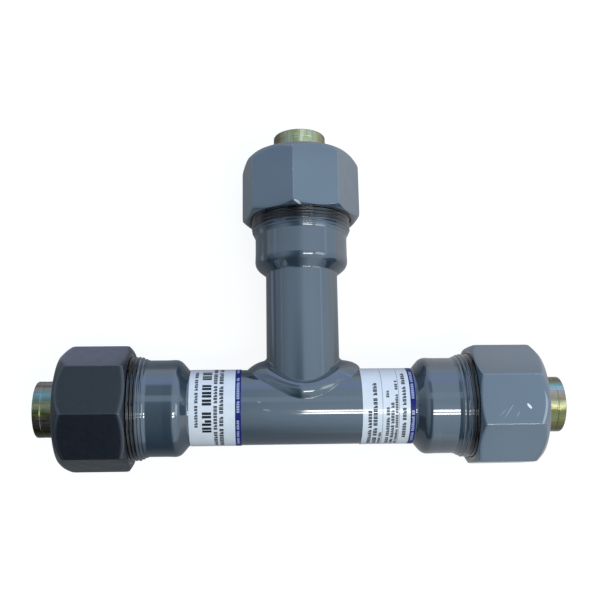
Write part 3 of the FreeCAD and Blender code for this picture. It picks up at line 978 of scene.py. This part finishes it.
# %% Floor
reach, low = 3.0, cad_lo.z
floor_mesh = bpy.data.meshes.new("floor")
corners = [(x * reach, y * reach, low) for x, y in ((-1, -1), (1, -1), (1, 1), (-1, 1))]
floor_mesh.from_pydata(corners, [], [(0, 1, 2, 3)])
floor = in_scene("floor", floor_mesh)
print("floor at", round(low, 4))


def distance_from(tree, where, x, y):
    """How far a point of the floor is from (x, y)."""
    return vector_node(tree, "DISTANCE", where, (x, y, low), output="Value")


# %% Finish of the floor
pale, tree, shader = new_material("pale_floor", Roughness=0.9, Specular_IOR_Level=0.1)
here = on_object(tree)
x, y = parts(tree, here)[:2]
path = node(tree, "LightPath").outputs
to_camera = path["Is Camera Ray"]
mirrored = math_node(tree, "MAXIMUM", path["Is Glossy Ray"], path["Is Transmission Ray"])

front_left = times(tree, level(tree, x, -0.05, -0.09), level(tree, y, 0.0, -0.16))
cloth = ramp(tree, noise(tree, here, 3.0, 2.0), [(0.3, (0.185, 0.187, 0.185)), (0.7, (0.195, 0.197, 0.195))])
cloth = blend_colour(tree, times(tree, mirrored, front_left), cloth, (0.03, 0.03, 0.03, 1))

back_glow = level(tree, y, 0.12, 0.6, 0.10, 0.62)
right_glow = times(tree, level(tree, x, -0.04, 0.28, 0.0, 0.5), level(tree, y, 0.7, 0.2))
fading = level(tree, front_left, 0.0, 1.0, 1.0, 0.05, smooth=False)
glow = times(tree, plus(tree, back_glow, right_glow), fading)
pool = level(tree, distance_from(tree, here, 0.13, 0.15), 0.13, 0.05, 0.0, 0.15)
blue_pool = level(tree, distance_from(tree, here, -0.150, 0.095), 0.055, 0.03, 0.0, 0.34)
glow = plus(tree, plus(tree, pool, blue_pool), glow)
seen = math_node(tree, "MAXIMUM", times(tree, to_camera, 0.88), times(tree, mirrored, glow))
blue = times(tree, blue_pool, 2.5, without(tree, to_camera))
fill(tree, shader, {"Base Color": cloth, "Emission Strength": seen,
                    "Emission Color": blend_colour(tree, blue, (1, 1, 1, 1), (0.85, 0.97, 1.5, 1))})
floor_mesh.materials.append(pale)
print("floor nodes", len(tree.nodes))

# %% [markdown]
# ## Lamps
# A pair of long tubes overhead draws the thin double line along the run, and one small square
# lamp stands on the right. Spots would do, but an area lamp's size sets how wide its line is.

# %% Lamps
def lamp(name, at, aim, size, power, colour):
    """A rectangular lamp at a place, turned toward another."""
    data = bpy.data.lights.new(name, "AREA")
    data.shape, data.size, data.size_y = "RECTANGLE", size[0], size[1]
    data.energy, data.color = power, colour
    obj = in_scene(name, data)
    obj.location = at
    obj.rotation_euler = (Vector(aim) - Vector(at)).to_track_quat("-Z", "Y").to_euler()


for side, y in (("near", -0.59), ("far", -0.42)):
    lamp(f"tube_lamp_{side}", (0.33, y, 1.2), (0.33, y, 0), (0.54, 0.10), 2.1, (1.0, 0.99, 0.96))
lamp("side_lamp", (0.50, -0.10, 0.50), (0.05, 0, 0), (0.3, 0.3), 0.5, (0.93, 0.97, 1.0))
print("lamps", [data.name for data in bpy.data.lights])

# %% [markdown]
# ## The sky
# The rest of the room is a sky whose brightness depends on the direction. It is brighter to the
# right, has a blue window at the back, falls off toward the horizon at the front left, is dark
# in a column left of the middle, as if somebody stood there, and has two thin bright strips.
# The camera itself sees plain white.
# A photograph of a room would serve as well, but these few masks can be read and changed.

# %% Sky
world = bpy.data.worlds.new("soft_sky")
bpy.context.scene.world = world
world.use_nodes = True
tree = world.node_tree
tree.nodes.clear()
x, y, z = parts(tree, node(tree, "TexCoord").outputs["Generated"])
sky = blend_colour(tree, level(tree, z, 0.0, 0.75), (0.69, 0.86, 1.02, 1), (0.75, 0.96, 1.17, 1))
window = times(tree, level(tree, y, 0.25, 0.6), level(tree, z, 0.68, 0.60), level(tree, z, 0.10, 0.42))
sky = blend_colour(tree, window, sky, (0.74, 0.93, 1.42, 1))

behind = times(tree, level(tree, y, 0.10, 0.22), level(tree, y, 0.44, 0.36))
dim = times(tree, level(tree, z, 0.80, 0.0), level(tree, x, 0.30, -0.05), level(tree, y, 0.5, -0.1))
lean = times(tree, level(tree, x, -0.9, 0.2, 0.72, 1.15), level(tree, x, 0.45, 0.95, 1.0, 0.92),
             level(tree, behind, 0.0, 1.0, 1.0, 1.12), level(tree, dim, 0.0, 1.0, 1.0, 0.45, smooth=False))

person = times(tree, level(tree, x, -0.75, -0.25), level(tree, x, 0.10, -0.16),
               level(tree, behind, 0.0, 1.0, 1.0, 0.25, smooth=False), level(tree, y, 0.82, 0.72))
depth = level(tree, y, 0.6, -0.6, 0.40, 0.10)
shade = without(tree, times(tree, person, without(tree, depth)))

angle = math_node(tree, "ARCTAN2", x, z)
strip = 0.0
for at in (-71.0, 61.0):
    off = math_node(tree, "ABSOLUTE", math_node(tree, "SUBTRACT", angle, math.radians(at)))
    strip = plus(tree, level(tree, off, math.radians(3.5), math.radians(1.5)), strip)
strength = times(tree, lean, shade, plus(tree, times(tree, strip, 0.3), 1.0))

to_camera = node(tree, "LightPath").outputs["Is Camera Ray"]
strength = plus(tree, times(tree, strength, without(tree, to_camera)), to_camera)
sky = blend_colour(tree, to_camera, sky, (1, 1, 1, 1))
back = node(tree, "Background", {"Color": sky, "Strength": strength})
node(tree, "OutputWorld", {"Surface": back.outputs[0]})
print("sky nodes", len(tree.nodes))

# %% [markdown]
# ## The camera
# The photo looks almost straight down, from about half a metre at this size of the fitting.
# The place, turn and lens come from a pinhole camera that was fitted to the outlines in it.

# %% Camera
camera_data = bpy.data.cameras.new("camera")
camera_data.sensor_width, camera_data.lens = 36.0, 51.0
camera_data.clip_start, camera_data.clip_end = 0.01, 20.0
camera = in_scene("camera", camera_data)
camera.location = (-0.0246, -0.0576, 0.5178)
camera.rotation_euler = [math.radians(a) for a in (13.54, -2.37, -0.90)]
bpy.context.scene.camera = camera
bpy.context.scene.view_settings.view_transform = "Standard"
print("camera at", tuple(round(v, 4) for v in camera.location))
